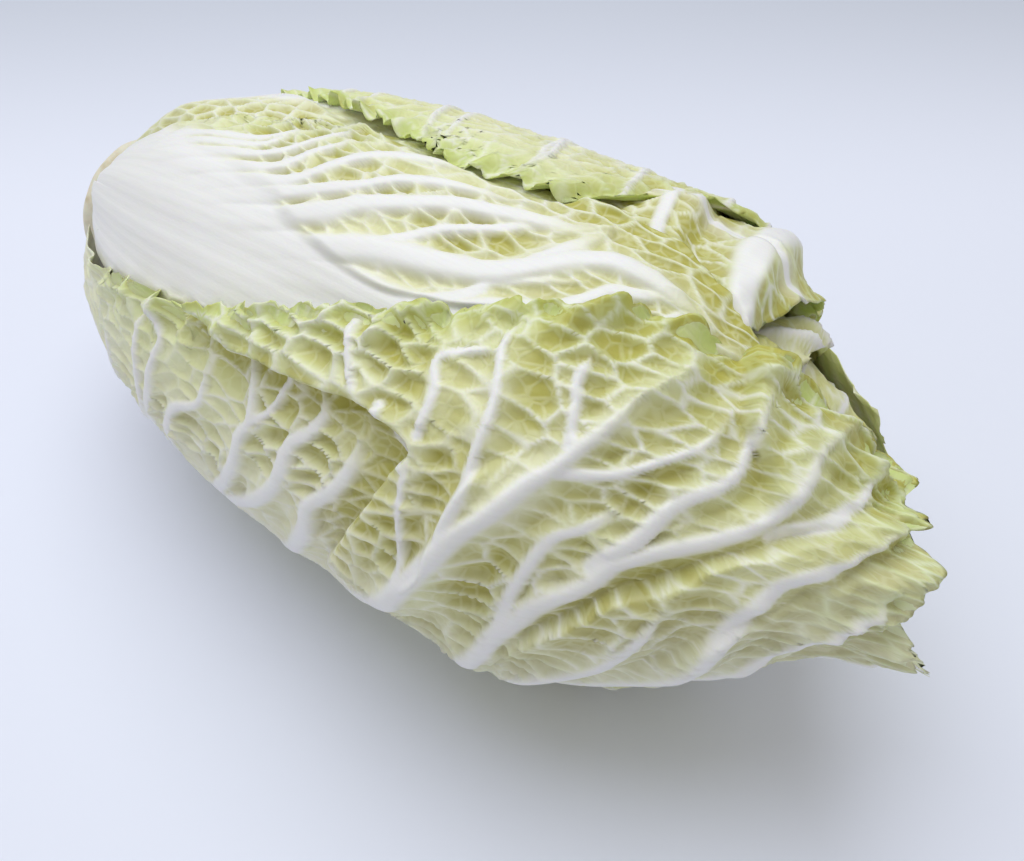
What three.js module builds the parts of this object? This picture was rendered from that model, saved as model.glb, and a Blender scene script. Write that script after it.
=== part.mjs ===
// A head of napa cabbage, 290 mm long, lying on its side: a cut stem core, nested leaves and a heart bud.
// +X runs from the cut stem to the leaf tips, +Z is up and -Y is the head's front.
// The origin is below the middle of the head, level with the flat patch under the belly that it rests on.
import * as THREE from 'three';
import { ParametricGeometry } from 'three/addons/geometries/ParametricGeometry.js';
import { mergeVertices } from 'three/addons/utils/BufferGeometryUtils.js';

// ---- driving dimensions, in millimetres and degrees ----
const HEAD_LENGTH = 300; // of the skin, from its closed stem end to its closed tip
const STEM_END = -150; // X of that stem end, which centres the finished head on the origin
const HEAD_RADIUS = 73; // at the belly
const BELLY = 0.68; // the widest place, as a share of the length from the cut stem
const CORE_HEIGHT = 62; // the stem core stands this far inside the head
const TIP_DROP = 46; // the heart ends this far below the outermost leaf tips
const CORE_EDGE = 0.033; // the core is a cone inside this share of the length
const CORE_STUB = 3; // the cut face stands this far out from the cone's edge
const LEAF_GAP = 2.5; // clear space from one leaf to the next
const CORE_GAP = 0.015; // clear share of the length from the core to a leaf's foot
const RIB_THICK = 6; // a midrib at its foot
const RIB_THIN = 2.2; // a midrib at the leaf's tip
const BLADE_THICK = 1.1;
const RIB_HALF_FOOT = 29; // half the width of a midrib at its foot
const RIB_HALF_TIP = 4;
const SAG = 3; // the belly is pressed flat by this much where it rests
const AXIS_RISE = 6; // the tip end lies this much higher than the stem end

const AXIS_HEIGHT = HEAD_RADIUS - SAG;
const TURN = Math.PI / 180;
const { smoothstep, clamp } = THREE.MathUtils;
const step = (low, high, x) => smoothstep(x, low, high);

// ---- the head's own coordinates: s along the length, angle round the axis, depth under the skin ----

// Radius of the outermost skin at a share s of the length: a blunt shoulder and a long, closing tip.
function skinRadius(s) {
  if (s < BELLY) return HEAD_RADIUS * (1 - ((BELLY - s) / BELLY) ** 3) ** (1 / 1.73);
  return HEAD_RADIUS * Math.max(1 - ((s - BELLY) / (1 - BELLY)) ** 1.4, 0) ** (1 / 1.25);
}

// Point of the nested skin that lies at this depth. Angle 0 is up and 90 faces the front.
// Where the outermost skin would reach below the surface, all that lies over it is lifted with it.
function place(s, angle, depth, target) {
  const inner = depth / HEAD_RADIUS;
  const x = STEM_END + CORE_HEIGHT * inner + (HEAD_LENGTH - (CORE_HEIGHT + TIP_DROP) * inner) * s;
  const r = skinRadius(s);
  const axisHeight = AXIS_HEIGHT + (AXIS_RISE * x) / HEAD_LENGTH;
  const lift = Math.max(-axisHeight - r * Math.cos(angle * TURN), 0);
  const z = axisHeight + (1 - inner) * r * Math.cos(angle * TURN) + lift;
  return target.set(x, -(1 - inner) * r * Math.sin(angle * TURN), z);
}

// ---- leaves ----
// mid: where the midrib lies, in degrees round the axis; turn: how far it has turned at the leaf's tip.
// low, high: degrees from the midrib to each margin, at the head's stem end, half way and at its tip end.
// end: share of the head's length where the leaf's tip is; drop: how much sooner its corners end.
// rib: how strong its midrib is.
const OUTER_LEAVES = [
  { name: 'wrapper_leaf_underside', mid: 188, low: [42, 50, 64], high: [38, 66, 92], end: 0.93, drop: 0.12 },
  { name: 'wrapper_leaf_front', mid: 126, low: [55, 82, 152], high: [42, 56, 66], end: 0.98, drop: 0.05 },
  { name: 'wrapper_leaf_back', mid: -104, low: [40, 60, 70], high: [34, 105, 40], end: 0.82, drop: 0.22 },
  { name: 'outer_leaf_top', mid: 41, turn: -34, low: [16, 51, 44], high: [34, 66, 70], end: 0.83, drop: 0.4 },
  { name: 'outer_leaf_top_back', mid: -26, low: [36, 70, 84], high: [30, 62, 70], end: 0.8, drop: 0.06 },
  { name: 'outer_leaf_low_front', mid: 148, low: [40, 80, 96], high: [34, 70, 84], end: 0.95, drop: 0.1 },
].map((leaf) => ({ turn: 0, rib: 1, ...leaf }));
const HEAD_LEAVES = 16;
const GOLDEN_ANGLE = 137.5;
const MOUTH_SLANT = 0.06;

// The leaves further in follow each other by the golden angle, each a little narrower than the last.
// Those whose midribs are on top end soonest, so the head's mouth is oblique.
function headLeaf(k) {
  const mid = 80 + GOLDEN_ANGLE * k;
  return {
    name: `head_leaf_${String(k + 1).padStart(2, '0')}`,
    mid,
    turn: 0,
    low: [44, 80, 92],
    high: [44, 78, 88],
    end: 0.89 - MOUTH_SLANT * Math.cos(mid * TURN) + 0.003 * k,
    drop: 0.06,
    rib: 0.9 - (0.55 * k) / (HEAD_LEAVES - 1),
  };
}
const LEAVES = [...OUTER_LEAVES, ...Array.from({ length: HEAD_LEAVES }, (_, k) => headLeaf(k))];

const midAt = (leaf, s) => leaf.mid + leaf.turn * step(0.45, 0.95, s);
const spanAt = ([foot, half, tip], s) =>
  foot * (1 - 2 * s) * (1 - s) + half * 4 * s * (1 - s) + tip * s * (2 * s - 1);
const endAt = (leaf, v) => leaf.end - leaf.drop * v * v;
const ribHalfWidth = (s) => RIB_HALF_TIP + (RIB_HALF_FOOT - RIB_HALF_TIP) * (1 - step(0.12, 0.62, s));
const ribThickness = (s) => RIB_THICK - (RIB_THICK - RIB_THIN) * step(0, 0.7, s);

// Where an angle lies across a leaf: -1 at the low margin, 0 on the midrib and 1 at the high margin.
function across(leaf, s, angle) {
  const turn = THREE.MathUtils.euclideanModulo(angle - midAt(leaf, s) + 180, 360) - 180;
  return turn / spanAt(turn < 0 ? leaf.low : leaf.high, s);
}

// Thickness of a leaf at v across it: a thick, rounded midrib in a thin blade.
function thickness(leaf, s, v) {
  const arc = Math.abs(v) * spanAt(v < 0 ? leaf.low : leaf.high, s) * TURN * skinRadius(s);
  const q = Math.min(arc / ribHalfWidth(s), 1);
  return BLADE_THICK + leaf.rib * (ribThickness(s) - BLADE_THICK) * (1 - q * q) ** 2;
}

// How much of a leaf is there: 1 on it, falling to 0 a little past its margins and its tip.
function presence(leaf, s, v) {
  const side = 1 - step(1.1, 1.6, Math.abs(v));
  return side * (1 - step(0.05, 0.2, s - endAt(leaf, clamp(v, -1, 1))));
}

// Depth of leaf number n under the skin: what all the leaves outside it take up there.
function depthOf(n, s, angle) {
  let depth = 0;
  for (const leaf of LEAVES.slice(0, n)) {
    const v = across(leaf, s, angle);
    depth += presence(leaf, s, v) * (thickness(leaf, s, clamp(v, -1, 1)) + LEAF_GAP);
  }
  return depth;
}

// One closed surface with its seams merged.
function closed(geometry) {
  geometry.deleteAttribute('normal');
  geometry.deleteAttribute('uv');
  return mergeVertices(geometry, 1e-3);
}

// Cuts the quads in the second half of each loop along their other diagonal, so that a leaf's inner face
// folds along the same lines as its outer face and the two never touch.
function matchFolds(geometry, columns) {
  const index = geometry.index.array;
  for (let quad = 0; quad < index.length / 6; quad += 1) {
    if (quad % (2 * columns) < columns) continue;
    const [a, b, d, , c] = index.slice(6 * quad, 6 * quad + 6);
    index.set([a, b, c, a, c, d], 6 * quad);
  }
  return geometry;
}

// A leaf: round it runs a loop, over the outer face from margin to margin and back under the inner face,
// and the loops follow each other from the foot to the tip.
function leafGeometry(n, columns, rows) {
  const leaf = LEAVES[n];
  const foot = 1 / rows; // the first band closes the cut foot
  const surface = new ParametricGeometry((loop, along, target) => {
    const outside = loop <= 0.5;
    const v = outside ? 4 * loop - 1 : 3 - 4 * loop;
    const start = CORE_EDGE + CORE_GAP;
    const share = Math.max(along - foot, 0) / (1 - foot);
    const s = start + (endAt(leaf, v) - start) * share ** 1.1;
    const angle = midAt(leaf, s) + v * spanAt(v < 0 ? leaf.low : leaf.high, s);
    const thick = along === 0 || along === 1 || Math.abs(v) === 1 ? 0 : thickness(leaf, s, v);
    const middle = depthOf(n, s, angle) + thickness(leaf, s, v) / 2;
    place(s, angle, middle + (outside ? -thick : thick) / 2, target);
  }, 2 * columns, rows);
  return closed(matchFolds(surface, columns));
}

// The stem core: a cone that the leaves' feet stand on, with a short cut stub.
function coreGeometry() {
  const edge = place(CORE_EDGE, 90, 0, new THREE.Vector3());
  const apex = place(CORE_EDGE, 90, HEAD_RADIUS, new THREE.Vector3());
  const stub = edge.x - CORE_STUB;
  const radius = -edge.y;
  const profile = [
    new THREE.Vector2(0, stub),
    new THREE.Vector2(radius * 0.86, stub),
    new THREE.Vector2(radius * 0.97, stub + CORE_STUB / 2),
    new THREE.Vector2(radius, edge.x),
    new THREE.Vector2(radius * 0.2, edge.x + (apex.x - edge.x) * 0.8),
    new THREE.Vector2(0, edge.x + (apex.x - edge.x) * 0.86),
  ];
  const turned = new THREE.LatheGeometry(profile, 24);
  turned.rotateZ(-Math.PI / 2);
  turned.translate(0, 0, AXIS_HEIGHT - AXIS_RISE / 2);
  return closed(turned);
}

// The heart: the small furled leaves in the middle, one bud inside the innermost leaf.
function heartGeometry(columns, rows) {
  const start = CORE_EDGE + 2.5 * CORE_GAP;
  const end = 0.9;
  return closed(new ParametricGeometry((loop, along, target) => {
    const s = start + (end - start) * along;
    const angle = 360 * loop;
    const shrink = along === 0 || along === 1 ? 0 : 1;
    const skin = depthOf(LEAVES.length, s, angle) + LEAF_GAP;
    place(s, angle, shrink * skin + (1 - shrink) * HEAD_RADIUS, target);
  }, columns, rows));
}

// ---- the head ----
const finishes = {
  core: new THREE.MeshStandardMaterial({ color: 0xe9e6d4, roughness: 0.75, metalness: 0 }),
  outer: new THREE.MeshStandardMaterial({ color: 0xdde3b0, roughness: 0.5, metalness: 0 }),
  inner: new THREE.MeshStandardMaterial({ color: 0xe6e8b4, roughness: 0.5, metalness: 0 }),
  heart: new THREE.MeshStandardMaterial({ color: 0xf0e8a0, roughness: 0.5, metalness: 0 }),
};

function piece(name, geometry, material) {
  const mesh = new THREE.Mesh(geometry, material);
  mesh.name = name;
  return mesh;
}

const head = new THREE.Group();
head.add(piece('stem_core', coreGeometry(), finishes.core));
LEAVES.forEach((leaf, n) => {
  const isOuter = n < OUTER_LEAVES.length;
  const geometry = leafGeometry(n, isOuter ? 14 : 12, 12);
  head.add(piece(leaf.name, geometry, isOuter ? finishes.outer : finishes.inner));
});
head.add(piece('heart_bud', heartGeometry(20, 10), finishes.heart));

export default head;
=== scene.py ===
import math

import bpy
import numpy as np
from mathutils import Matrix, Vector


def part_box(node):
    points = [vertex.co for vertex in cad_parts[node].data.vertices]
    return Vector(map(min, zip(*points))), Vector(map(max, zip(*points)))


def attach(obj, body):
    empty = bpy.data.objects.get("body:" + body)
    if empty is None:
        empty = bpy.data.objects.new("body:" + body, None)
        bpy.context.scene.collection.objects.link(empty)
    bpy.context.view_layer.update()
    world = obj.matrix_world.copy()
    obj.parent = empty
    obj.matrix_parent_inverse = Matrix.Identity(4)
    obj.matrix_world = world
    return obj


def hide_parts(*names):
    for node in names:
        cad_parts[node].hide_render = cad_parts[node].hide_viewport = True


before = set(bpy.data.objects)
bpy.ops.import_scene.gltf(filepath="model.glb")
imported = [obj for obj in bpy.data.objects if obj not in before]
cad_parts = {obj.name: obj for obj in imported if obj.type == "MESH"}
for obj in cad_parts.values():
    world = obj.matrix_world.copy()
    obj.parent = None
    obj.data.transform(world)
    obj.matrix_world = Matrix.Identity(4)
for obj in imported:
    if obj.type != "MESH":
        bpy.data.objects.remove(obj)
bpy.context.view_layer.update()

turn = math.pi / 180

# The head's own coordinates, as its solids have them: s runs along the length from the stem end (0) to the
# tips (1), angle goes round the axis in degrees (0 up, 90 to the front), and depth is metres under the skin.
# mouth: radius that the tips stay open by; tuck: how much deeper a leaf lies where others cover it;
# free, spare: how far a leaf's hollows reach in as drawn, and how much further they can level out.
head = {
    "length": 0.300,
    "stemEnd": -0.150,
    "radius": 0.073,
    "belly": 0.68,
    "shoulderPower": (3, 1.73),
    "nosePower": (1.4, 1.25),
    "mouth": 0.023,
    "mouthFrom": (0.82, 0.97),
    "tuck": 0.0018,
    "free": 0.003,
    "spare": 0.001,
    "coreHeight": 0.062,
    "tipDrop": 0.046,
    "coreEdge": 0.033,
    "coreGap": 0.015,
    "leafGap": 0.0025,
    "sag": 0.003,
    "axisRise": 0.006,
    "bladeThick": 0.0011,
    "ribThick": 0.006,
    "ribThin": 0.0022,
    "ribHalfFoot": 0.029,
    "ribHalfTip": 0.004,
}


def smooth(low, high, x):
    # 0 below low, 1 above high and an S-shaped cubic between them
    t = np.clip((x - low) / (high - low), 0, 1)
    return t * t * (3 - 2 * t)


def skinRadius(s):
    # radius times a power curve on each side of the belly, blunt at the stem end and long at the tips;
    # towards the tips the mouth's radius is added as a sum of cubes
    # where the last of it stays open as a ruffled mouth
    back = np.clip((head["belly"] - s) / head["belly"], 0, 1)
    front = np.clip((s - head["belly"]) / (1 - head["belly"]), 0, 1)
    backPower, backRoot = head["shoulderPower"]
    frontPower, frontRoot = head["nosePower"]
    shoulder = (1 - back**backPower) ** (1 / backRoot)
    nose = (1 - front**frontPower) ** (1 / frontRoot)
    mouth = head["mouth"] * smooth(*head["mouthFrom"], s)
    openNose = np.cbrt((head["radius"] * nose) ** 3 + mouth**3)
    return np.where(s < head["belly"], head["radius"] * shoulder, openNose)


def place(s, angle, depth):
    # the point of the nested skin at this depth; what lies over the resting patch is lifted with the skin,
    # and the underside of the tips is drawn in
    inner = depth / head["radius"]
    room = head["coreHeight"] + head["tipDrop"]
    x = head["stemEnd"] + head["coreHeight"] * inner + (head["length"] - room * inner) * s
    r = skinRadius(s) * (1 - 0.2 * smooth(0.86, 1, s) * (1 - np.cos(angle * turn)))
    axisHeight = head["radius"] - head["sag"] + head["axisRise"] * x / head["length"]
    up = r * np.cos(angle * turn)
    lift = np.maximum(-axisHeight - up, 0)
    y = -(1 - inner) * r * np.sin(angle * turn)
    return np.stack([x, y, axisHeight + (1 - inner) * up + lift], axis=-1)


def scatter(i, j, seed):
    # a repeatable number from 0 to 1 for each whole-number pair
    return np.modf(np.abs(np.sin(i * 127.1 + j * 311.7 + seed * 74.7)) * 43758.5453)[0]


def noise(x, y, seed):
    # scattered values at whole numbers, blended smoothly between them, from -1 to 1
    i, j = np.floor(x), np.floor(y)
    a, b = smooth(0, 1, x - i), smooth(0, 1, y - j)
    low = scatter(i, j, seed) * (1 - a) + scatter(i + 1, j, seed) * a
    high = scatter(i, j + 1, seed) * (1 - a) + scatter(i + 1, j + 1, seed) * a
    return (low * (1 - b) + high * b) * 2 - 1


def scallops(x):
    # rounded lobes one unit long, from -1 between them to 1 at their tops
    return 2 * np.sqrt(np.maximum(1 - (2 * (x - np.floor(x)) - 1) ** 2, 0)) - 1


def cellEdge(x, y, seed):
    # distance to the second nearest scattered point less distance to the nearest: 0 on the edges of the cells
    baseX, baseY = np.floor(x), np.floor(y)
    first = np.full(x.shape, 4.0)
    second = first.copy()
    for stepX in (-1, 0, 1):
        for stepY in (-1, 0, 1):
            i, j = baseX + stepX, baseY + stepY
            px = i + 0.1 + 0.8 * scatter(i, j, seed)
            py = j + 0.1 + 0.8 * scatter(i, j, seed + 7.3)
            away = np.hypot(px - x, py - y)
            second = np.minimum(second, np.maximum(first, away))
            first = np.minimum(first, away)
    return second - first


def smoothPath(points, count):
    # a Catmull-Rom curve through the points, as count rows of (s, angle)
    p = np.array(points, float)
    p = np.vstack([2 * p[0] - p[1], p, 2 * p[-1] - p[-2]])
    at = np.linspace(0, len(points) - 1 - 1e-9, count)
    k = at.astype(int)
    t = (at - k)[:, None]
    a, b, c, d = p[k], p[k + 1], p[k + 2], p[k + 3]
    return 0.5 * (2 * b + (c - a) * t + (2 * a - 5 * b + 4 * c - d) * t**2 + (3 * b - a - 3 * c + d) * t**3)


def nearPath(s, angle, points, count=18):
    # distance in metres over the skin to the curve, and the share of the curve's length there
    path = smoothPath(points, count)
    across = turn * skinRadius(s)
    best = np.full(s.shape, 1.0)
    along = np.zeros(s.shape)
    for k in range(count - 1):
        ax, ay = (s - path[k, 0]) * head["length"], (angle - path[k, 1]) * across
        bx = (path[k + 1, 0] - path[k, 0]) * head["length"]
        by = (path[k + 1, 1] - path[k, 1]) * across
        t = np.clip((ax * bx + ay * by) / (bx * bx + by * by), 0, 1)
        away = np.hypot(ax - t * bx, ay - t * by)
        closer = away < best
        best = np.where(closer, away, best)
        along = np.where(closer, (k + t) / (count - 1), along)
    return best, along


def insideOutline(s, angle, outline):
    # True inside the closed outline: how often a ray towards higher s crosses it is odd
    inside = np.zeros(s.shape, dtype=bool)
    for (s0, a0), (s1, a1) in zip(outline, np.roll(outline, -1, axis=0)):
        if a0 != a1:
            crosses = (a0 > angle) != (a1 > angle)
            inside ^= crosses & (s < s0 + (s1 - s0) * (angle - a0) / (a1 - a0))
    return inside


# ---- leaves as the solids have them ----
# mid: the midrib's angle; turn: how far it has turned at the tip; low and high: degrees from the midrib to
# each margin at the stem end, half way and at the tips; end: where the leaf's tip is; drop: how much sooner
# its corners end; rib: how strong its midrib is.
outerLeaves = {
    "wrapper_leaf_underside": {"mid": 188, "low": (42, 50, 64), "high": (38, 66, 92),
                               "end": 0.93, "drop": 0.12},
    "wrapper_leaf_front": {"mid": 126, "low": (55, 82, 152), "high": (42, 56, 66), "end": 0.98, "drop": 0.05},
    "wrapper_leaf_back": {"mid": -104, "low": (40, 60, 70), "high": (34, 105, 40), "end": 0.82, "drop": 0.22},
    "outer_leaf_top": {"mid": 41, "low": (16, 51, 44), "high": (34, 66, 70),
                       "end": 0.83, "drop": 0.4, "turn": -34},
    "outer_leaf_top_back": {"mid": -26, "low": (36, 70, 84), "high": (30, 62, 70), "end": 0.8, "drop": 0.06},
    "outer_leaf_low_front": {"mid": 148, "low": (40, 80, 96), "high": (34, 70, 84), "end": 0.95, "drop": 0.1},
}
headLeafCount = 16
goldenAngle = 137.5
mouthSlant = 0.06


def headLeaf(k):
    mid = 80 + goldenAngle * k
    return {
        "mid": mid,
        "low": (44, 80, 92),
        "high": (44, 78, 88),
        "end": 0.89 - mouthSlant * math.cos(mid * turn) + 0.003 * k,
        "drop": 0.06,
        "rib": 0.9 - 0.55 * k / (headLeafCount - 1),
    }


leaves = dict(outerLeaves)
for k in range(headLeafCount):
    leaves[f"head_leaf_{k + 1:02d}"] = headLeaf(k)
for leaf in leaves.values():
    leaf.setdefault("turn", 0)
    leaf.setdefault("rib", 1)
    leaf["centre"] = leaf["mid"] + 0.25 * (leaf["high"][1] - leaf["low"][1])
leaves["wrapper_leaf_front"]["centre"] = 60


def midAt(leaf, s):
    return leaf["mid"] + leaf["turn"] * smooth(0.45, 0.95, s)


def spanAt(ends, s):
    # a parabola through the three given spans
    foot, half, tip = ends
    return foot * (1 - 2 * s) * (1 - s) + half * 4 * s * (1 - s) + tip * s * (2 * s - 1)


def endAt(leaf, v):
    return leaf["end"] - leaf["drop"] * v * v


def unroll(leaf, s, angle):
    # metres along and across for the patterns; across narrows less than the head does towards the tips
    reach = head["radius"] * 0.42 + 0.58 * skinRadius(np.maximum(s, 0.3))
    return s * head["length"], (angle - leaf["centre"]) * turn * reach


def spanOn(leaf, s, v):
    return np.where(v < 0, spanAt(leaf["low"], s), spanAt(leaf["high"], s))


def ribHalfWidth(s):
    return head["ribHalfTip"] + (head["ribHalfFoot"] - head["ribHalfTip"]) * (1 - smooth(0.12, 0.62, s))


def thickness(leaf, s, v):
    # a thick, rounded midrib in a thin blade
    arc = np.abs(v) * spanOn(leaf, s, v) * turn * skinRadius(s)
    q = np.minimum(arc / ribHalfWidth(s), 1)
    ribNow = head["ribThick"] - (head["ribThick"] - head["ribThin"]) * smooth(0, 0.7, s)
    return head["bladeThick"] + leaf["rib"] * (ribNow - head["bladeThick"]) * (1 - q * q) ** 2


def acrossOf(leaf, s, angle):
    # -1 at the low margin, 0 on the midrib and 1 at the high margin
    swing = np.mod(angle - midAt(leaf, s) + 180, 360) - 180
    return swing / spanOn(leaf, s, swing)


def depthUnder(names, s, angle):
    # what all these leaves take up there, falling away a little past their margins and tips
    depth = np.zeros(s.shape)
    for name in names:
        leaf = leaves[name]
        v = acrossOf(leaf, s, angle)
        inside = np.clip(v, -1, 1)
        there = (1 - smooth(1.1, 1.6, np.abs(v))) * (1 - smooth(0.05, 0.2, s - endAt(leaf, inside)))
        depth += there * (thickness(leaf, s, inside) + head["leafGap"])
    return depth


def shownUnder(names, s, angle):
    # 1 where none of these leaves covers the place, 0 a little way in under a margin
    shown = np.ones(s.shape)
    for name in names:
        leaf = leaves[name]
        v = acrossOf(leaf, s, angle)
        inMetres = (1 - np.abs(v)) * spanOn(leaf, s, v) * turn * skinRadius(s)
        beyondTip = (s - endAt(leaf, np.clip(v, -1, 1))) * head["length"]
        shown *= 1 - smooth(-0.001, 0.004, inMetres) * (1 - smooth(-0.004, 0.001, beyondTip))
    return shown


# ---- how each leaf is drawn ----
# columns: grid columns on the outer and the inner face; rows: along the leaf; focus: the share across the
# leaf up to which the outer columns are crowded.
# ribs: (half width at the root and at the end in millimetres, height, points as (s, angle)); autoRibs: pairs
# of side ribs to generate; merge: share of a rib over which it rises out of the midrib.
# cells: length and width of the blade's net, floor: how deep its cells are, and ridge: how much the blade
# swells along the ribs, all in millimetres.
# ruffle: how far the margin waves off the head, and how long a wave is; ragged, trim: how uneven the margin
# is, and how much of it is cut back; flare: how far the tip curls out; sink, cling: how much lower the leaf
# and its margin lie. All in millimetres.
# short: how much sooner the leaf ends, as a share of the length; petiole: width of the white petiole against
# the solid's midrib; pale: how far its paleness fades out, in millimetres; shadeStrength: how strong the
# painted shade is in the cells and the valleys between ribs; green: how strong the colour is at the margins
# and the tip.
# folds: edge and behind outline the part that stands proud; lip, pocket: how far it stands out and how far
# the rest sinks beside it; soft, fade: widths of the step and of what fades behind it, in millimetres;
# start: share of the edge over which the fold begins.
plainLook = {
    "columns": (110, 44),
    "rows": 150,
    "focus": None,
    "ribs": [],
    "autoRibs": 9,
    "cells": (9, 6),
    "floor": 0.55,
    "ridge": 1.2,
    "ruffle": (2.6, 15),
    "ragged": 1.4,
    "flare": 1.0,
    "short": 0.0,
    "trim": 0.0,
    "sink": 0.4,
    "cling": 1.0,
    "shadeStrength": 1.0,
    "pale": 16,
    "merge": 0.14,
    "petiole": 1.0,
    "folds": [],
    "green": 0.5,
}
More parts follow.
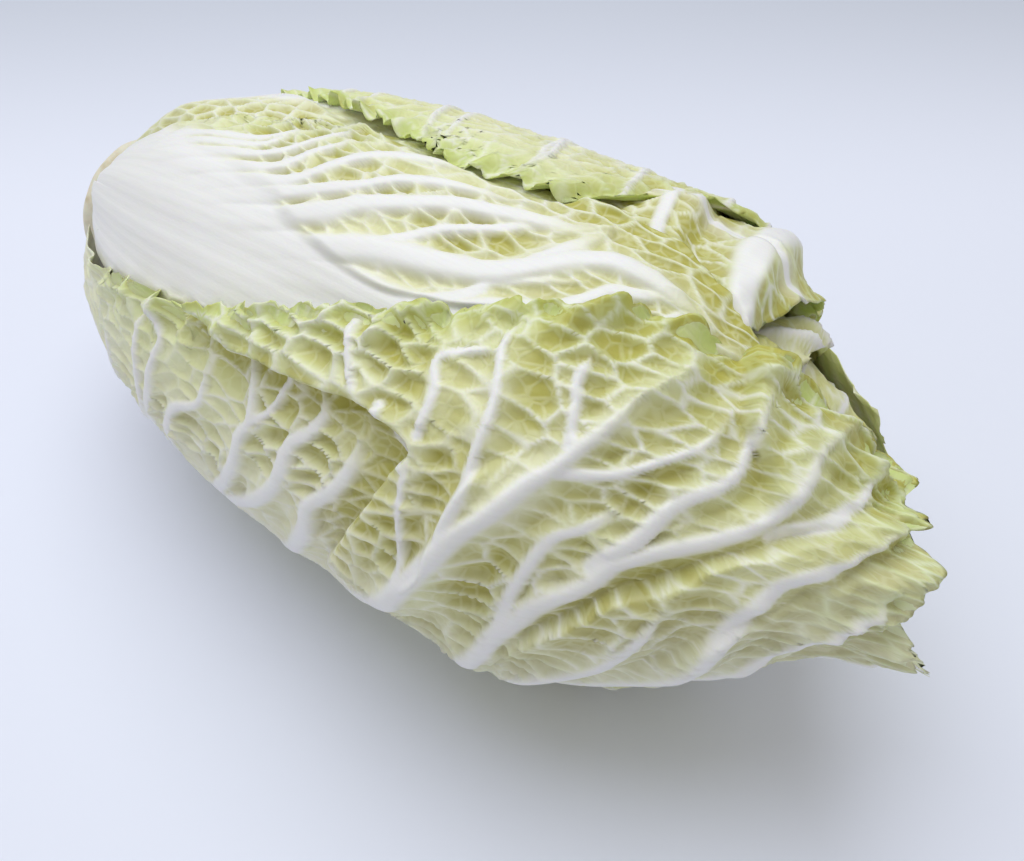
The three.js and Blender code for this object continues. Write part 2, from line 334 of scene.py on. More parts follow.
looks = {
    "wrapper_leaf_front": {
        "columns": (262, 54),
        "rows": 312,
        "focus": 0.1,
        "autoRibs": 0,
        "cells": (12.5, 5.8),
        "floor": 2.4,
        "ridge": 5.2,
        "ruffle": (4.4, 15),
        "ragged": 2.4,
        "flare": 7.0,
        "short": -0.008,
        "pale": 44,
        "sink": 0.7,
        "cling": 0.6,
        "merge": 0.34,
        "petiole": 0.72,
        "green": 0.8,
        "ribs": [
            (1.6, 0.8, 1.5, [(0.16, 124), (0.19, 108), (0.2, 92), (0.2, 78)]),
            (1.8, 0.8, 1.6, [(0.2, 124), (0.25, 106), (0.27, 90), (0.27, 74), (0.28, 62)]),
            (2.2, 0.8, 2.0, [(0.24, 122), (0.28, 94), (0.3, 80), (0.31, 70), (0.3, 64), (0.31, 54)]),
            (1.9, 0.8, 1.8, [(0.28, 118), (0.31, 98), (0.33, 86), (0.37, 79), (0.38, 73), (0.38, 60)]),
            (2.9, 0.8, 2.6, [(0.33, 122), (0.39, 101), (0.42, 90), (0.44, 78), (0.45, 72), (0.44, 63),
                             (0.42, 56)]),
            (1.4, 0.8, 1.6, [(0.43, 80), (0.45, 73), (0.47, 68), (0.48, 61), (0.49, 54)]),
            (2.7, 1.4, 2.6, [(0.35, 120), (0.4, 106), (0.45, 94), (0.49, 82), (0.5, 72), (0.52, 67),
                             (0.53, 61),
                             (0.51, 57)]),
            (3.2, 1.5, 2.8, [(0.43, 124), (0.47, 111), (0.52, 91), (0.53, 83), (0.56, 74), (0.57, 68),
                             (0.57, 60)]),
            (4.0, 0.8, 3.2, [(0.44, 130), (0.52, 119), (0.62, 94), (0.65, 84), (0.69, 68), (0.72, 56),
                             (0.74, 49),
                             (0.76, 35), (0.78, 20)]),
            (1.8, 0.8, 1.9, [(0.68, 72), (0.68, 62), (0.68, 48), (0.67, 41), (0.66, 34), (0.66, 28)]),
            (1.4, 0.8, 1.5, [(0.62, 96), (0.64, 85), (0.64, 77), (0.63, 66), (0.63, 55)]),
            (1.1, 0.8, 1.2, [(0.63, 55), (0.63, 47), (0.62, 42), (0.64, 38), (0.66, 36)]),
            (1.2, 0.8, 1.3, [(0.74, 46), (0.73, 39), (0.72, 34), (0.72, 28)]),
            (1.1, 0.8, 1.0, [(0.53, 43), (0.55, 50), (0.57, 55)]),
            (1.3, 0.8, 1.4, [(0.59, 54), (0.6, 58), (0.64, 64)]),
            (1.4, 0.8, 1.6, [(0.74, 51), (0.77, 48), (0.79, 43), (0.81, 36), (0.82, 22)]),
            (3.4, 0.8, 2.8, [(0.6, 134), (0.66, 120), (0.73, 87), (0.78, 73), (0.8, 64), (0.86, 50),
                             (0.88, 36),
                             (0.88, 16), (0.89, -6)]),
            (1.6, 1.0, 1.6, [(0.72, 90), (0.74, 72), (0.75, 64), (0.77, 60), (0.79, 52)]),
            (1.8, 0.8, 2.0, [(0.78, 68), (0.81, 54), (0.82, 48), (0.84, 36), (0.84, 26), (0.83, 10)]),
            (2.2, 1.0, 2.2, [(0.66, 132), (0.73, 112), (0.8, 95), (0.82, 86), (0.84, 68)]),
            (3.2, 0.8, 2.8, [(0.7, 134), (0.76, 120), (0.84, 104), (0.87, 84), (0.89, 60), (0.91, 50),
                             (0.93, 34),
                             (0.95, 8)]),
            (2.6, 0.8, 2.4, [(0.8, 132), (0.87, 112), (0.91, 96), (0.94, 69), (0.96, 44)]),
            (1.3, 0.8, 1.6, [(0.88, 46), (0.9, 36), (0.91, 25), (0.92, 14), (0.92, 0)]),
        ],
        "folds": [
            {
                "edge": [(0.36, 56), (0.4, 58), (0.45, 59), (0.5, 58), (0.555, 56), (0.59, 56), (0.626, 58),
                         (0.616, 64), (0.6, 72), (0.576, 84), (0.549, 95), (0.49, 119)],
                "behind": [(0.7, 140), (1.1, 140), (1.1, 0), (0.36, 0)],
                "lip": 6.5,
                "pocket": 2.0,
                "soft": 1.1,
                "start": 0.001,
                "fade": 22,
            },
            {
                "edge": [(0.71, 104), (0.745, 90), (0.786, 78), (0.821, 70), (0.853, 60), (0.883, 48),
                         (0.908, 38),
                         (0.93, 24)],
                "behind": [(1.1, 24), (1.1, 140), (0.71, 140)],
                "lip": 5.8,
                "pocket": 2.0,
                "soft": 1.1,
                "start": 0.22,
                "fade": 15,
            },
            {
                "edge": [(0.8, 2), (0.815, 12), (0.828, 22), (0.841, 25), (0.855, 29), (0.868, 34),
                         (0.873, 44)],
                "behind": [(1.1, 44), (1.1, -20), (0.8, -20)],
                "lip": 5.0,
                "pocket": 2.0,
                "soft": 1.1,
                "start": 0.001,
                "fade": 13,
            },
            {
                "edge": [(0.8, 110), (0.84, 94), (0.86, 84), (0.893, 72), (0.913, 60), (0.933, 42),
                         (0.948, 28)],
                "behind": [(1.1, 28), (1.1, 140), (0.8, 140)],
                "lip": 3.2,
                "pocket": 1.2,
                "soft": 1.1,
                "start": 0.22,
                "fade": 12,
            },
            {
                "edge": [(0.7, 50), (0.684, 58), (0.671, 66), (0.665, 76), (0.64, 88)],
                "behind": [(0.72, 88), (0.76, 60), (0.74, 50)],
                "lip": 2.0,
                "pocket": 1.2,
                "soft": 1.1,
                "start": 0.22,
                "fade": 10,
            },
        ],
    },
    "outer_leaf_top": {
        "columns": (250, 64),
        "rows": 312,
        "focus": 0.55,
        "autoRibs": 0,
        "cells": (11, 4.6),
        "floor": 1.8,
        "shadeStrength": 1.7,
        "pale": 3,
        "ridge": 2.2,
        "ruffle": (1.4, 17),
        "ragged": 0.9,
        "flare": 1.0,
        "petiole": 1.05,
        "green": 0.45,
        "ribs": [
            (2.0, 0.8, 1.4, [(0.14, 20), (0.21, 15), (0.28, 12), (0.31, 7), (0.33, 0)]),
            (2.0, 0.8, 1.5, [(0.16, 24), (0.23, 18), (0.3, 13), (0.32, 4)]),
            (2.2, 0.8, 1.8, [(0.18, 27), (0.26, 20), (0.32, 15), (0.36, 4), (0.38, -4)]),
            (2.5, 1.0, 2.0, [(0.22, 29), (0.3, 22), (0.34, 18), (0.37, 9), (0.41, -1)]),
            (2.8, 1.1, 2.2, [(0.25, 31), (0.33, 24), (0.37, 20), (0.4, 13), (0.43, 6), (0.48, 2), (0.52, 0)]),
            (2.9, 1.1, 2.4, [(0.27, 33), (0.35, 26), (0.39, 22), (0.44, 16), (0.47, 10), (0.53, 5),
                             (0.59, 2)]),
            (3.5, 1.8, 2.8, [(0.3, 36), (0.38, 30), (0.43, 24), (0.46, 19), (0.5, 14), (0.54, 9), (0.62, 4),
                             (0.66, 0)]),
            (2.0, 1.1, 1.7, [(0.46, 31), (0.51, 23), (0.54, 16), (0.58, 10), (0.62, 4)]),
            (2.8, 2.5, 2.4, [(0.55, 24), (0.61, 20), (0.63, 13), (0.66, 1)]),
            (4.4, 2.4, 3.6, [(0.34, 39), (0.43, 34), (0.48, 29), (0.56, 24), (0.6, 21), (0.63, 16),
                             (0.66, 10),
                             (0.7, 7), (0.74, 7), (0.77, 8)]),
            (5.2, 2.2, 3.4, [(0.36, 42), (0.46, 37), (0.55, 36), (0.59, 33), (0.64, 27), (0.71, 23),
                             (0.75, 18),
                             (0.8, 9)]),
            (2.5, 1.3, 2.0, [(0.52, 37), (0.57, 32), (0.6, 26), (0.61, 22), (0.68, 14)]),
            (2.5, 1.4, 2.0, [(0.62, 30), (0.66, 25), (0.69, 18), (0.7, 14), (0.72, 11), (0.74, 7)]),
            (2.8, 2.0, 2.2, [(0.73, 21), (0.75, 17), (0.75, 13), (0.76, 8)]),
        ],
    },
    "wrapper_leaf_back": {
        "columns": (230, 60),
        "rows": 300,
        "autoRibs": 12,
        "cells": (10, 6),
        "floor": 1.2,
        "ridge": 1.0,
        "ruffle": (3.4, 10),
        "ragged": 2.4,
        "flare": 0.6,
        "trim": 2.2,
        "sink": 2.2,
        "cling": 2.0,
        "green": 0.95,
    },
    "wrapper_leaf_underside": {
        "columns": (190, 60),
        "rows": 280,
        "flare": 0.5,
        "cling": 3.4,
        "autoRibs": 12,
        "ridge": 1.4,
        "ruffle": (1.2, 18),
        "ragged": 1.6,
        "green": 0.7,
    },
    "outer_leaf_top_back": {
        "columns": (230, 60),
        "rows": 300,
        "autoRibs": 0,
        "cells": (9, 5.5),
        "ridge": 1.6,
        "ruffle": (2.0, 16),
        "ragged": 1.2,
        "flare": 1.5,
        "petiole": 0.5,
        "pale": 4,
        "floor": 1.0,
        "green": 1.0,
        "shadeStrength": 1.4,
        "ribs": [
            (1.9, 1.4, 1.4, [(0.64, -46), (0.65, -30), (0.675, -14), (0.7, -3), (0.725, 6)]),
            (4.0, 2.6, 2.6, [(0.735, -54), (0.742, -38), (0.752, -22), (0.768, -10), (0.79, 1), (0.8, 8)]),
        ],
        "folds": [
            {
                "edge": [(0.66, -80), (0.675, -50), (0.69, -30), (0.705, -16), (0.715, -8), (0.745, 4),
                         (0.76, 14)],
                "behind": [(0.6, 14), (0.58, -20), (0.6, -80)],
                "lip": 3.4,
                "pocket": 0.6,
                "soft": 3.4,
                "start": 0.001,
                "fade": 18,
            },
            {
                "edge": [(0.75, -80), (0.762, -50), (0.772, -30), (0.785, -14), (0.8, -2), (0.812, 12)],
                "behind": [(0.74, 12), (0.72, -10), (0.7, -30), (0.68, -50), (0.67, -80)],
                "lip": 4.4,
                "pocket": 0.8,
                "soft": 3.4,
                "start": 0.001,
                "fade": 14,
            },
        ],
    },
    "head_leaf_03": {
        "columns": (150, 44),
        "rows": 200,
        "flare": 2.0,
        "ruffle": (3.0, 10),
        "ribs": [
            (2.4, 1.8, 2.2, [(0.79, -46), (0.793, -30), (0.803, -16), (0.815, -3), (0.825, 6)]),
        ],
    },
    "head_leaf_06": {"columns": (150, 44), "rows": 200, "flare": 2.0, "ruffle": (3.4, 10)},
    "outer_leaf_low_front": {
        "columns": (180, 60),
        "rows": 260,
        "autoRibs": 10,
        "ruffle": (3.0, 13),
        "ragged": 3.0,
        "short": 0.03,
        "flare": 5.0,
    },
}
# the leaves hidden furthest in have coarser grids
smallLook = {"columns": (64, 32), "rows": 90}
smallFrom = len(outerLeaves) + 9
foldSteps = 48


def lookOf(name, order):
    look = dict(plainLook)
    if order >= smallFrom:
        look.update(smallLook)
    look.update(looks.get(name, {}))
    return look


def autoRibs(leaf, count, seed):
    # lateral ribs in pairs, each swept towards the tip and a little unlike the others
    ribs = []
    for k in range(count):
        for way in (-1, 1):
            chance = scatter(k, way, seed)
            root = 0.14 + 0.7 * (k + 0.5 * chance) / count
            ends = leaf["low"] if way < 0 else leaf["high"]
            sweep = 0.09 + 0.08 * root + 0.05 * chance
            points = []
            for v in (0, 0.28, 0.6, 0.8, 1.0):
                s = root + sweep * v**0.8 + 0.012 * noise(v * 4, way * k, seed + 1)
                points.append((s, midAt(leaf, s) + way * v * spanAt(ends, s)))
            ribs.append((2.1 - 0.9 * root, 0.5, 1.4 + 0.9 * chance, points))
    return ribs


def relief(leaf, look, seed, s, angle, v, shown, calm):
    # heights in metres over the smooth leaf, how white each place is, and how much painted shade its sunk
    # cells and the valleys between its ribs get
    across = turn * skinRadius(s)
    x, y = unroll(leaf, s, angle)
    arc = np.abs(angle - midAt(leaf, s)) * across
    wander = 0.0012 * noise(x / 0.011, y / 0.011, seed)
    fine = np.zeros(s.shape)
    wide = np.zeros(s.shape)
    white = np.zeros(s.shape)
    for rootHalf, endHalf, height, points in look["ribs"] + autoRibs(leaf, look["autoRibs"], seed):
        away, along = nearPath(s + wander / head["length"], angle, points)
        half = 0.001 * (rootHalf + (endHalf - rootHalf) * along**0.8)
        half = half * (1 - 0.6 * smooth(0.8, 1, along))
        q = np.clip(away / half, 0, 2.4)
        merge = look["merge"] if abs(points[0][1] - leaf["mid"]) < 20 else 0.06
        rise = smooth(0, merge, along) * (1 - 0.5 * along)
        fine = np.maximum(fine, 0.00062 * height * rise * np.exp(-0.5 * q**4))
        wide = np.maximum(wide, rise * height / 3 * np.exp(-((away / (0.0032 + 1.3 * half)) ** 2)))
        white = np.maximum(white, (1 - 0.8 * smooth(0.75, 1, along)) * np.exp(-((q / 1.25) ** 5)))
    # the broad white petiole, with faint flutes along it
    petioleHalf = ribHalfWidth(s) * look["petiole"]
    petiole = 1 - smooth(0.8, 1.15, arc / petioleHalf + 0.12 * noise(x / 0.012, y / 0.008, seed + 2))
    drift = 0.6 * noise(x / 0.06, y / 0.02, seed + 3)
    broad = 0.5 + 0.5 * noise(x / 0.08, y / 0.01, seed + 25)
    flutes = 0.0003 * broad * np.sin(y / 0.0023 + drift) + 0.00003 * np.sin(y / 0.0006 + 3 * drift)
    flutes = flutes * petiole
    foot = 1 - smooth(0.05, 0.2, s)
    blade = (1 - petiole) * (1 - smooth(0.15, 0.9, white))
    fine = fine * (1 - 0.6 * petiole)
    # the net of veins: raised veins round sunk, smooth floors, and a faint finer net inside them
    length, width = 0.001 * np.array(look["cells"])
    bendX = 0.3 * noise(x / 0.016, y / 0.016, seed + 4)
    bendY = 0.3 * noise(x / 0.013, y / 0.013, seed + 9)
    coarse = cellEdge(x / length + bendX, y / width + bendY, seed + 5)
    small = cellEdge(x / length * 2.1 + bendX, y / width * 1.9 + bendY, seed + 6)
    coarseVein = np.exp(-((coarse / 0.1) ** 2))
    smallVein = np.exp(-((small / 0.12) ** 2))
    sunk = smooth(0.02, 0.6, coarse)
    deep = smooth(-0.5, 0.9, noise(x / 0.024, y / 0.02, seed + 19))
    uneven = 0.4 + 0.75 * deep
    amount = blade * uneven * (1 - 0.7 * calm) * (0.35 + 0.65 * shown) * (1 - 0.7 * foot)
    net = 0.001 * look["floor"] * (0.4 * coarseVein + 0.1 * smallVein * sunk - 0.85 * sunk)
    puff = 0.00035 * noise(x / 0.0042, y / 0.0034, seed + 8) * look["floor"]
    height = fine + amount * (net + puff) + flutes
    tipwards = 0.45 + 0.75 * smooth(0.5, 0.8, s)
    height = height + 0.001 * look["ridge"] * np.minimum(wide, 1.5) * (1 - petiole) * tipwards
    white = np.maximum(white, (0.5 + 0.3 * noise(x / 0.02, y / 0.02, seed + 24)) * coarseVein * blade)
    white = np.maximum(white, petiole)
    white = np.maximum(white, 0.4 * (1 - smooth(0.3, 1.5, arc / (petioleHalf + 0.001 * look["pale"]))))
    white = np.maximum(white, 0.3 * np.minimum(wide, 1) * smooth(0.5, 0.75, s))
    # painted shade: a dark olive colour is marked in the sunk cell floors and in the valleys between the ribs
    valley = (1 - np.minimum(wide * 1.5, 1)) * blade * smooth(0.5, 0.75, s)
    paintedShade = blade * look["shadeStrength"] * (sunk * (0.16 + 0.62 * deep) + 0.7 * valley * (1 - coarseVein))
    height = height * (0.12 + 0.88 * shown)
    return height, np.clip(white, 0, 1), np.clip(paintedShade, 0, 1)


def broadShape(leaf, look, seed, s, angle, v, shown):
    # how far the whole leaf stands off the smooth head: waving margins, curling tips, swellings and folds,
    # how deep in the shade of a fold each place is, and how near it is to the fold's smooth lip
    across = turn * skinRadius(s)
    fromMargin = (1 - np.abs(v)) * spanOn(leaf, s, v) * across
    fromTip = np.maximum(endAt(leaf, v) - s, 0) * head["length"]
    reach = np.minimum(fromMargin, fromTip * 0.8)
    size, wave = look["ruffle"]
    x, y = unroll(leaf, s, angle)
    run = x + 0.6 * y
    ripple = np.sin(2 * math.pi * run / (0.001 * wave) + 2.2 * noise(run / 0.03, reach / 0.02, seed + 11))
    ripple = 0.55 * ripple + 0.6 * noise(run / 0.0055, reach / 0.009, seed + 12)
    edge = np.exp(-((reach / 0.0085) ** 2)) * smooth(0.06, 0.2, s)
    off = 0.001 * size * edge * (0.35 + 0.85 * ripple) * (0.15 + 0.85 * shown) - 0.001 * look["sink"]
    cling = look["cling"] + 2.2 * (1 - smooth(0.12, 0.28, s))
    held = reach if look["flare"] < 1 else fromMargin
    off = off - 0.001 * np.minimum(cling, 3.4) * np.exp(-((held / 0.012) ** 2))
    curl = np.exp(-((fromTip / 0.018) ** 2)) * (0.62 + 0.7 * noise(angle / 14, reach / 0.02, seed + 16))
    off = off + 0.001 * look["flare"] * curl * (0.2 + 0.8 * shown)
    crumple = noise(x / 0.0065, y / 0.0075, seed + 17) + 0.5 * noise(x / 0.0033, y / 0.0038, seed + 18)
    frill = 0.38 * look["flare"] * np.exp(-((fromTip / 0.026) ** 2))
    frill = frill + 0.22 * size * np.exp(-((reach / 0.014) ** 2))
    off = off + 0.001 * frill * crumple * smooth(0.1, 0.25, s) * (0.2 + 0.8 * shown)
    off = off + 0.0011 * noise(x / 0.035, y / 0.03, seed + 13) * smooth(0.1, 0.3, s) * shown
    shade = np.zeros(s.shape)
    calm = np.zeros(s.shape)
    for fold in look["folds"]:
        away, along = nearPath(s, angle, fold["edge"], foldSteps)
        outline = np.vstack([smoothPath(fold["edge"], foldSteps), fold["behind"]])
        away = np.where(insideOutline(s, angle, outline), away, -away)
        away = away + 0.0009 * noise(x / 0.008, y / 0.008, seed + 14)
        lasts = (1 - smooth(0.82, 1, along)) * smooth(0, fold["start"], along + 0.001)
        stands = smooth(-1, 1, away / (0.001 * fold["soft"]))
        proud = 0.001 * fold["lip"] * stands * np.exp(-((away / (0.001 * fold["fade"])) ** 2))
        under = (1 - stands) * np.exp(-((away / 0.011) ** 2))
        off = off + lasts * (proud - 0.001 * fold["pocket"] * under)
        shade = np.maximum(shade, lasts * under)
        calm = np.maximum(calm, lasts * np.exp(-((away / 0.006) ** 2)))
    return off, shade, calm


def heldOut(off):
    # off where it is no deeper than head["free"]; deeper places level out by head["spare"] below that
    over = np.maximum(-off - head["free"], 0)
    level = head["free"] + head["spare"] * (1 - np.exp(-over / head["spare"]))
    return np.where(over > 0, -level, off)


def leafGrid(name, order):
    # a leaf as rows of closed loops: over its outer face from margin to margin and back under its inner face
    leaf, look = leaves[name], lookOf(name, order)
    seed = 3.7 * order + 1
    outerCount, innerCount = look["columns"]
    if look["focus"] is None:
        vOuter = np.linspace(-1, 1, outerCount)
    else:
        crowded = int(0.84 * outerCount)
        lowPart = np.linspace(-1, look["focus"], crowded, endpoint=False)
        vOuter = np.concatenate([lowPart, np.linspace(look["focus"], 1, outerCount - crowded)])
    vInner = np.linspace(1, -1, innerCount)
    v = np.concatenate([vOuter, vInner])[None, :]
    outside = np.concatenate([np.ones(outerCount), np.zeros(innerCount)])[None, :]
    along = np.linspace(0, 1, look["rows"])[:, None]
    start = head["coreEdge"] + head["coreGap"]
    warp = noise(v * 5, 0 * v, seed + 20)
    lobes = 0.5 * warp + 0.7 * scallops(v * 6 + warp) + 0.35 * scallops(v * 17 + 2 * warp)
    lobes = lobes * (1 - smooth(0.8, 1, np.abs(v)))
    end = endAt(leaf, v) - look["short"] + 0.0035 * look["ragged"] * lobes
    s = start + (end - start) * along
    way = np.sign(v) * 3
    warp = noise(s * 12, way, seed + 22)
    rag = 0.8 * warp + 0.6 * scallops(s * 22 + 2 * warp) + 0.35 * scallops(s * 70 + 3 * warp) - look["trim"]
    vNow = v * np.ones(s.shape)
    across = turn * skinRadius(s)
    angle = midAt(leaf, s) + vNow * spanOn(leaf, s, vNow)
    pull = smooth(0.7, 1, np.abs(vNow)) * np.sign(vNow) * 0.001 * look["ragged"] * rag
    angle = angle + pull / np.maximum(across, 0.0003) * smooth(0.08, 0.2, s)
    above = list(leaves)[:order]
    shown = shownUnder(above, s, angle)
    depth = depthUnder(above, s, angle) + head["tuck"] * (1 - shown)
    off, shade, calm = broadShape(leaf, look, seed, s, angle, vNow, shown)
    height, white, paintedShade = relief(leaf, look, seed, s, angle, vNow, shown, calm)
    fromEdge = np.minimum((1 - np.abs(vNow)) * spanOn(leaf, s, vNow) * across, (end - s) * head["length"])
    thick = thickness(leaf, s, vNow) * (0.35 + 0.65 * smooth(0, 0.004, fromEdge))
    # this limits how far a leaf's hollows reach in towards the next leaf
    off = off + 0.001 * look["sink"]
    depth = depth + 0.001 * look["sink"]
    outerDepth = depth - heldOut(off + height * smooth(-0.001, 0.003, fromEdge))
    innerDepth = depth - heldOut(off) + thick + 0.001 * look["floor"] * smooth(0.003, 0.012, fromEdge)
    points = place(s, angle, np.where(outside > 0, outerDepth, innerDepth))
    margin = np.exp(-fromEdge / 0.012) * smooth(0.05, 0.25, s)
    tipward = smooth(0.55, 0.95, s)
    blotch = 0.5 + 0.5 * noise(s * 14, angle / 9, seed + 30)
    greenest = 0.95 * margin + 0.35 * tipward + 0.25 * blotch
    green = np.clip(look["green"] * greenest * (1 - 0.6 * white), 0, 1)
    uv = np.stack([s * head["length"] / 0.1, (angle - leaf["mid"]) * turn * head["radius"] / 0.1], axis=-1)
    # painted shade: the shade beside each fold's lip is painted on the outer face too, less on white parts
    paintedShade = np.maximum(paintedShade, shade * (1 - white)) * outside
    points[..., 2] = np.maximum(points[..., 2], 0)
    return points, uv, {"white": white, "paintedShade": paintedShade, "green": green}, (vOuter, vInner)


def zipper(outerIndex, innerIndex, vOuter, vInner):
    # triangles that close a strip between two rows of points with different spacing
    midOuter = (vOuter[1:] + vOuter[:-1]) / 2
    midInner = (vInner[1:] + vInner[:-1]) / 2
    atInner = np.searchsorted(midInner, midOuter)
    atOuter = np.searchsorted(midOuter, midInner)
    first = np.stack([outerIndex[:-1], outerIndex[1:], innerIndex[atInner]], axis=-1)
    second = np.stack([innerIndex[1:], innerIndex[:-1], outerIndex[atOuter]], axis=-1)
    return np.concatenate([first, second])


def addMesh(name, points, faces, uv, layers):
    # puts whole arrays into a mesh: quads and triangles, a UV for each corner and a number layer per vertex
    vertices = points.reshape(-1, 3)
    mesh = bpy.data.meshes.new(name)
    mesh.from_pydata(vertices.tolist(), [], [face for part in faces for face in part.tolist()])
    loopVertex = np.empty(len(mesh.loops), dtype=np.int32)
    mesh.loops.foreach_get("vertex_index", loopVertex)
    mesh.uv_layers.new(name="skin").data.foreach_set("uv", uv.reshape(-1, 2)[loopVertex].ravel())
    for layer, values in layers.items():
        mesh.attributes.new(layer, "FLOAT", "POINT").data.foreach_set("value", values.ravel())
    mesh.polygons.foreach_set("use_smooth", np.ones(len(mesh.polygons), dtype=bool))
    mesh.update()
    piece = bpy.data.objects.new(name, mesh)
    bpy.context.collection.objects.link(piece)
    return piece


def ringQuads(rows, count):
    # quads between each loop of points and the next
    base = np.arange((rows - 1) * count).reshape(rows - 1, count)
    following = np.roll(base, -1, axis=1)
    return np.stack([base, following, following + count, base + count], axis=-1).reshape(-1, 4)


def poledMesh(name, points, uv, layers):
    # rings whose first and last rows are one point each; fans of triangles join those poles to the next ring
    rows, count = points.shape[:2]
    ring = np.arange(count)
    after = np.roll(ring, -1)
    endPole = 1 + (rows - 2) * count
    kept = np.concatenate([[0], np.arange(count, (rows - 1) * count), [(rows - 1) * count]])
    firstFan = np.stack([0 * ring, after + 1, ring + 1], axis=-1)
    endFan = np.stack([ring + endPole - count, after + endPole - count, 0 * ring + endPole], axis=-1)
    faces = [firstFan, ringQuads(rows - 2, count) + 1, endFan]
    layers = {layer: values.reshape(-1)[kept] for layer, values in layers.items()}
    return addMesh(name, points.reshape(-1, 3)[kept], faces, uv.reshape(-1, 2)[kept], layers)


def leafPiece(name, order):
    points, uv, layers, (vOuter, vInner) = leafGrid(name, order)
    rows, count = points.shape[:2]
    outerCount = len(vOuter)
    lastRow = (rows - 1) * count
    outerIndex = np.arange(outerCount)
    innerIndex = np.arange(count - 1, outerCount - 1, -1)
    strip = zipper(outerIndex, innerIndex, vOuter, vInner[::-1])
    faces = [ringQuads(rows, count), strip[:, ::-1], strip + lastRow]
    return addMesh(name.replace("_", " ").title().replace(" ", "_"), points, faces, uv, layers)


# ---- materials ----
class Flow:
    # one socket of a node tree; arithmetic on it adds Math nodes
    def __init__(self, tree, socket):
        self.tree, self.socket = tree, socket

    def node(self, kind, settings=None, values=None, output=0):
        return newNode(self.tree, kind, settings, values, output)

    def math(self, operation, *values, clamp=False):
        settings = {"operation": operation, "use_clamp": clamp}
        return self.node("ShaderNodeMath", settings, dict(enumerate(values)))

    def __add__(self, other):
        return self.math("ADD", self, other)

    def __radd__(self, other):
        return self.math("ADD", other, self)

    def __sub__(self, other):
        return self.math("SUBTRACT", self, other)

    def __rsub__(self, other):
        return self.math("SUBTRACT", other, self)

    def __mul__(self, other):
        return self.math("MULTIPLY", self, other)

    def __rmul__(self, other):
        return self.math("MULTIPLY", other, self)

    def __truediv__(self, other):
        return self.math("DIVIDE", self, other)

    def between(self, low, high):
        # 0 below low, 1 above high, smooth between them
        settings = {"interpolation_type": "SMOOTHSTEP"}
        return self.node("ShaderNodeMapRange", settings, {"Value": self, "From Min": low, "From Max": high})


def newNode(tree, kind, settings=None, values=None, output=0):
    node = tree.nodes.new(kind)
    for key, value in (settings or {}).items():
        setattr(node, key, value)
    for key, value in (values or {}).items():
        if isinstance(value, Flow):
            tree.links.new(value.socket, node.inputs[key])
        else:
            node.inputs[key].default_value = value
    return Flow(tree, node.outputs[output])


def mixColor(tree, share, first, second):
    # share of the second colour over the first
    settings = {"data_type": "RGBA", "blend_type": "MIX"}
    return newNode(tree, "ShaderNodeMix", settings, {0: share, 6: first, 7: second}, 2)


def newMaterial(name):
    material = bpy.data.materials.new(name)
    material.use_nodes = True
    return material, material.node_tree, material.node_tree.nodes["Principled BSDF"]


leafSkin = {
    "rib": (0.84, 0.83, 0.81, 1),
    "ribShade": (0.77, 0.77, 0.72, 1),
    "blade": (0.76, 0.755, 0.45, 1),
    "bladePale": (0.84, 0.83, 0.62, 1),
    # painted shade: the dark olive colour of sunk cells, valleys and fold pockets
    "paintedShade": (0.46, 0.43, 0.08, 1),
    "green": (0.58, 0.68, 0.21, 1),
    "speck": (0.07, 0.06, 0.04, 1),
    "netScale": 26,
    "roughness": 0.42,
    "scatter": 0.16,
}


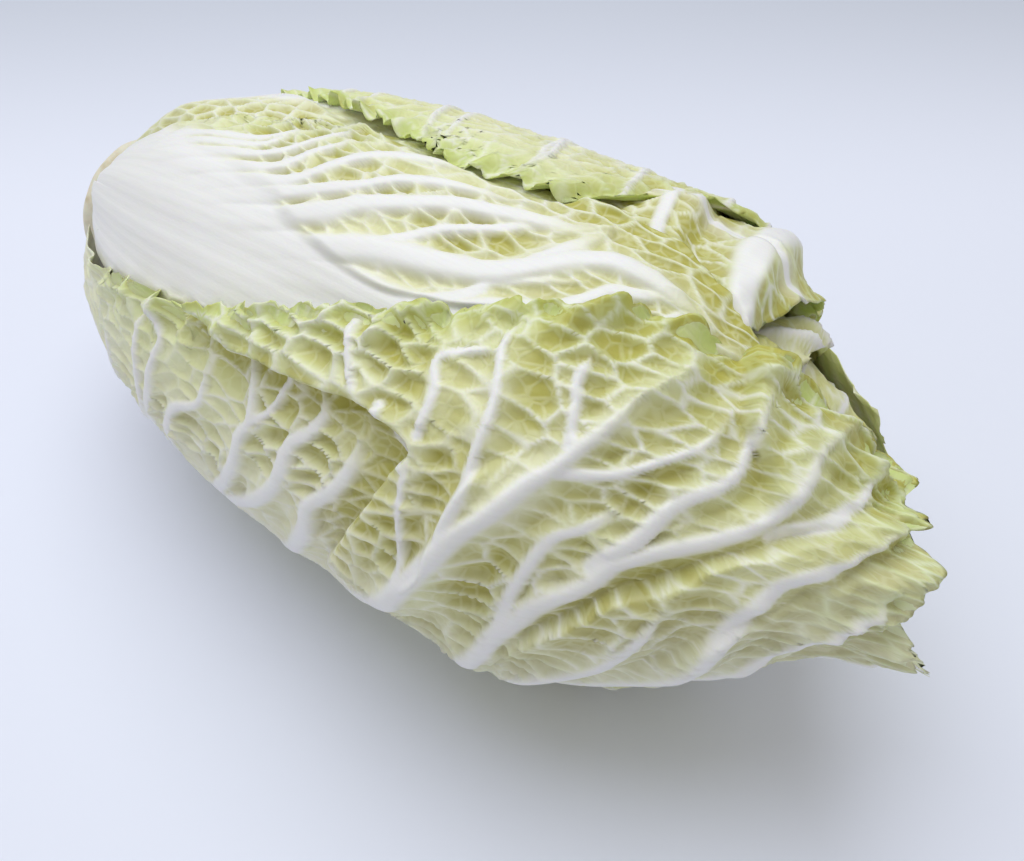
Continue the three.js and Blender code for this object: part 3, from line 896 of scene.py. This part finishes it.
def leafMaterial(name, skin):
    material, tree, surface = newMaterial(name)
    white = newNode(tree, "ShaderNodeAttribute", {"attribute_name": "white"}, output=2)
    paintedShade = newNode(tree, "ShaderNodeAttribute", {"attribute_name": "paintedShade"}, output=2)
    green = newNode(tree, "ShaderNodeAttribute", {"attribute_name": "green"}, output=2)
    uv = newNode(tree, "ShaderNodeUVMap", {"uv_map": "skin"})
    net = newNode(tree, "ShaderNodeTexVoronoi", {"feature": "DISTANCE_TO_EDGE"},
                  {"Vector": uv, "Scale": skin["netScale"]})
    grain = newNode(tree, "ShaderNodeTexNoise", None, {"Vector": uv, "Scale": 90, "Detail": 3})
    mottle = newNode(tree, "ShaderNodeTexNoise", None, {"Vector": uv, "Scale": 9, "Detail": 2})
    streak = newNode(tree, "ShaderNodeMapping", None, {"Vector": uv, "Scale": (0.6, 9, 1)})
    fibre = newNode(tree, "ShaderNodeTexNoise", None, {"Vector": streak, "Scale": 14, "Detail": 3})
    fineVein = (1 - net.between(0.02, 0.14)) * (1 - white) * 0.6
    blade = mixColor(tree, mottle.between(0.35, 0.7), skin["blade"], skin["bladePale"])
    blade = mixColor(tree, green, blade, skin["green"])
    # painted shade: the dark olive colour is mixed in where the leaf is marked as sunk or in shade
    blade = mixColor(tree, paintedShade * (1 - fineVein * 0.4), blade, skin["paintedShade"])
    blade = mixColor(tree, fineVein * 0.15, blade, skin["bladePale"])
    rib = mixColor(tree, fibre.between(0.4, 0.75) * 0.35, skin["rib"], skin["ribShade"])
    color = mixColor(tree, white, blade, rib)
    # a few dark specks, less than a millimetre across, in about a third of the cells of a wide net
    dots = {"Vector": uv, "Scale": 5.2, "Randomness": 1.0}
    reach = newNode(tree, "ShaderNodeTexVoronoi", None, dots)
    chance = newNode(tree, "ShaderNodeTexVoronoi", None, dots, 1)
    picked = newNode(tree, "ShaderNodeSeparateColor", None, {0: chance}).between(0.66, 0.67)
    color = mixColor(tree, (1 - reach.between(0.016, 0.024)) * picked, color, skin["speck"])
    tree.links.new(color.socket, surface.inputs["Base Color"])
    roughness = skin["roughness"] + (grain - 0.5) * 0.2
    tree.links.new(roughness.socket, surface.inputs["Roughness"])
    height = fineVein * 0.5 + grain * 0.25 + fibre * white * 0.15
    bump = newNode(tree, "ShaderNodeBump", None, {"Strength": 0.4, "Distance": 0.0005, "Height": height})
    tree.links.new(bump.socket, surface.inputs["Normal"])
    surface.inputs["Subsurface Weight"].default_value = skin["scatter"]
    surface.inputs["Subsurface Radius"].default_value = (0.5, 0.7, 0.25)
    surface.inputs["Subsurface Scale"].default_value = 0.002
    surface.inputs["Specular IOR Level"].default_value = 0.42
    return material


outerSkin = leafMaterial("Outer leaf skin", leafSkin)
innerSkin = leafMaterial("Inner leaf skin", {
    **leafSkin,
    "blade": (0.76, 0.75, 0.40, 1),
    "bladePale": (0.84, 0.82, 0.58, 1),
    # painted shade for the inner leaves, lighter than on the outer ones
    "paintedShade": (0.60, 0.58, 0.19, 1),
    "green": (0.64, 0.70, 0.28, 1),
})


# ---- the leaves ----
for order, name in enumerate(leaves):
    piece = leafPiece(name, order)
    isOuter = name in outerLeaves
    piece.data.materials.append(outerSkin if isOuter else innerSkin)
    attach(piece, "root")
    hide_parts(name)
print("leaves", len(leaves))


# ---- the heart and the stem core ----
heart = {"rows": 120, "columns": 160, "end": 0.9, "crinkle": 0.0016}


def heartBud():
    # a closed bud under the innermost leaf, crinkled, with its two ends drawn to the axis
    along = np.linspace(0, 1, heart["rows"])[:, None]
    angle = np.linspace(0, 360, heart["columns"], endpoint=False)[None, :] * np.ones(along.shape)
    start = head["coreEdge"] + 2.5 * head["coreGap"]
    s = start + (heart["end"] - start) * along + 0 * angle
    depth = depthUnder(list(leaves), s, angle) + head["leafGap"]
    petals = scallops(angle / 72 + 2.2 * s + 0.3 * noise(s * 9, angle / 40, 7))
    folds = noise(s * 40, angle / 9, 5) + 0.6 * noise(s * 75, angle / 5, 6)
    folds = folds + 1.6 * petals * smooth(0.5, 0.9, s)
    depth = depth - heart["crinkle"] * folds
    closing = smooth(0, 0.04, along) * (1 - smooth(0.97, 1, along))
    depth = head["radius"] - (head["radius"] - depth) * closing
    points = place(s, angle, depth)
    blank = np.zeros(s.shape)
    # painted shade in the troughs between the bud's petals
    layers = {"white": blank, "paintedShade": blank + 0.4 * (petals < -0.3), "green": blank + 0.2}
    uv = np.stack([s * 3, angle * turn * head["radius"] / 0.1], axis=-1)
    return poledMesh("Heart_Bud", points, uv, layers)


bud = heartBud()
bud.data.materials.append(innerSkin)
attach(bud, "root")
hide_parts("heart_bud")

core = {"rows": 40, "columns": 96, "stub": 0.003}


def stemCore():
    # a cone in the leaves' feet with a short cut stub; the profile is turned round the axis
    low, high = (Vector(c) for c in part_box("stem_core"))
    radius = (high.y - low.y) / 2
    middleZ = (low.z + high.z) / 2
    profile = np.array([
        (low.x, 0),
        (low.x, radius * 0.5),
        (low.x, radius * 0.84),
        (low.x + 0.0006, radius * 0.92),
        (low.x + 0.0015, radius * 0.97),
        (low.x + core["stub"], radius),
        (low.x + (high.x - low.x) * 0.85, radius * 0.2),
        (high.x, 0),
    ])
    at = np.linspace(0, len(profile) - 1, core["rows"])
    x = np.interp(at, np.arange(len(profile)), profile[:, 0])[:, None]
    r = np.interp(at, np.arange(len(profile)), profile[:, 1])[:, None]
    angle = np.linspace(0, 2 * math.pi, core["columns"], endpoint=False)[None, :]
    dent = 0.0005 * noise(r * 300 + 0 * angle, angle * 3 + 0 * r, 9) * smooth(0, 0.006, r)
    wobble = r * (1 + 0.02 * noise(np.cos(angle) * 2 + 0 * r, np.sin(angle) * 2 + 0 * r, 10))
    y, z = -wobble * np.sin(angle), middleZ + wobble * np.cos(angle)
    points = np.stack([x + dent + 0 * angle, y, z], axis=-1)
    blank = np.ones((core["rows"], core["columns"]))
    uv = points[..., 1:] / 0.1
    return poledMesh("Stem_Core", points, uv, {"white": blank})


cutStem = {
    "face": (0.74, 0.70, 0.55, 1),
    "dried": (0.52, 0.42, 0.24, 1),
}


def stemMaterial(name, stem):
    material, tree, surface = newMaterial(name)
    place3d = newNode(tree, "ShaderNodeTexCoord", output=3)
    spots = newNode(tree, "ShaderNodeTexNoise", None, {"Vector": place3d, "Scale": 160, "Detail": 4})
    pores = newNode(tree, "ShaderNodeTexVoronoi", None, {"Vector": place3d, "Scale": 420})
    dried = spots.between(0.45, 0.72)
    color = mixColor(tree, dried * 0.7, stem["face"], stem["dried"])
    tree.links.new(color.socket, surface.inputs["Base Color"])
    roughness = 0.7 + (spots - 0.5) * 0.3
    tree.links.new(roughness.socket, surface.inputs["Roughness"])
    height = spots + pores * 0.5
    bump = newNode(tree, "ShaderNodeBump", None, {"Strength": 0.6, "Distance": 0.0005, "Height": height})
    tree.links.new(bump.socket, surface.inputs["Normal"])
    surface.inputs["Subsurface Weight"].default_value = 0.1
    surface.inputs["Subsurface Scale"].default_value = 0.003
    return material


stump = stemCore()
stump.data.materials.append(stemMaterial("Cut stem", cutStem))
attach(stump, "root")
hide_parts("stem_core")
print("heart and stem core")

# ---- floor, light and camera ----
room = {
    "floorSize": 6.0,
    "floorColor": (0.80, 0.825, 0.93, 1),
    # painted shade: the darker colour the floor takes on far behind the head
    "floorFarShade": (0.58, 0.61, 0.69, 1),
    "viewWay": (-0.605, 0.796, 0),
    "fadeRange": (0.16, 0.42),
    "skyColor": (1.0, 0.985, 0.96, 1),
    "skyStrength": 0.5,
    "keyColor": (0.88, 0.93, 1.0),
    "keyPower": 8.8,
    "keySize": 1.2,
    "keyPlace": (-0.2, 0.02, 1.1),
}


def addFloor():
    half = room["floorSize"] / 2
    mesh = bpy.data.meshes.new("floor")
    corners = [(-half, -half, 0), (half, -half, 0), (half, half, 0), (-half, half, 0)]
    mesh.from_pydata(corners, [], [(0, 1, 2, 3)])
    floor = bpy.data.objects.new("Floor", mesh)
    bpy.context.collection.objects.link(floor)
    material, tree, surface = newMaterial("Floor")
    # painted shade: the floor's colour fades to a darker far colour with the distance behind the head, along
    # the view, where less light reaches the floor
    place3d = newNode(tree, "ShaderNodeTexCoord", output=3)
    along = {0: place3d, 1: room["viewWay"]}
    behind = newNode(tree, "ShaderNodeVectorMath", {"operation": "DOT_PRODUCT"}, along, 1)
    color = mixColor(tree, behind.between(*room["fadeRange"]), room["floorColor"], room["floorFarShade"])
    tree.links.new(color.socket, surface.inputs["Base Color"])
    surface.inputs["Roughness"].default_value = 0.6
    surface.inputs["Specular IOR Level"].default_value = 0.2
    mesh.materials.append(material)


def addLight(name, power, color, size, at, aim=(0, 0, 0.06)):
    data = bpy.data.lights.new(name, "AREA")
    data.energy, data.color, data.shape, data.size = power, color, "DISK", size
    light = bpy.data.objects.new(name, data)
    light.location = at
    light.rotation_euler = (Vector(aim) - Vector(at)).to_track_quat("-Z", "Y").to_euler()
    bpy.context.collection.objects.link(light)


def setSky():
    world = bpy.data.worlds.new("Sky")
    world.use_nodes = True
    background = world.node_tree.nodes["Background"]
    background.inputs["Color"].default_value = room["skyColor"]
    background.inputs["Strength"].default_value = room["skyStrength"]
    bpy.context.scene.world = world
    bpy.context.scene.view_settings.view_transform = "Standard"


camera = {
    "axisHeight": head["radius"] - head["sag"],
    "from": (0.1900, -0.2264, 0.2645),
    "azimuth": 37.25,
    "elevation": 44.65,
    "fieldOfView": 41.4,
}


def addCamera():
    data = bpy.data.cameras.new("Camera")
    data.angle = camera["fieldOfView"] * turn
    data.clip_start = 0.01
    eye = bpy.data.objects.new("Camera", data)
    azimuth, elevation = camera["azimuth"] * turn, camera["elevation"] * turn
    back = Vector((math.sin(azimuth) * math.cos(elevation), -math.cos(azimuth) * math.cos(elevation),
                   math.sin(elevation)))
    right = Vector((math.cos(azimuth), math.sin(azimuth), 0))
    up = back.cross(right)
    eye.matrix_world = Matrix((right, up, back)).transposed().to_4x4()
    eye.location = Vector(camera["from"]) + Vector((0, 0, camera["axisHeight"]))
    bpy.context.collection.objects.link(eye)
    bpy.context.scene.camera = eye


addFloor()
setSky()
addLight("Key", room["keyPower"], room["keyColor"], room["keySize"], room["keyPlace"])
addCamera()
print("floor, light and camera")
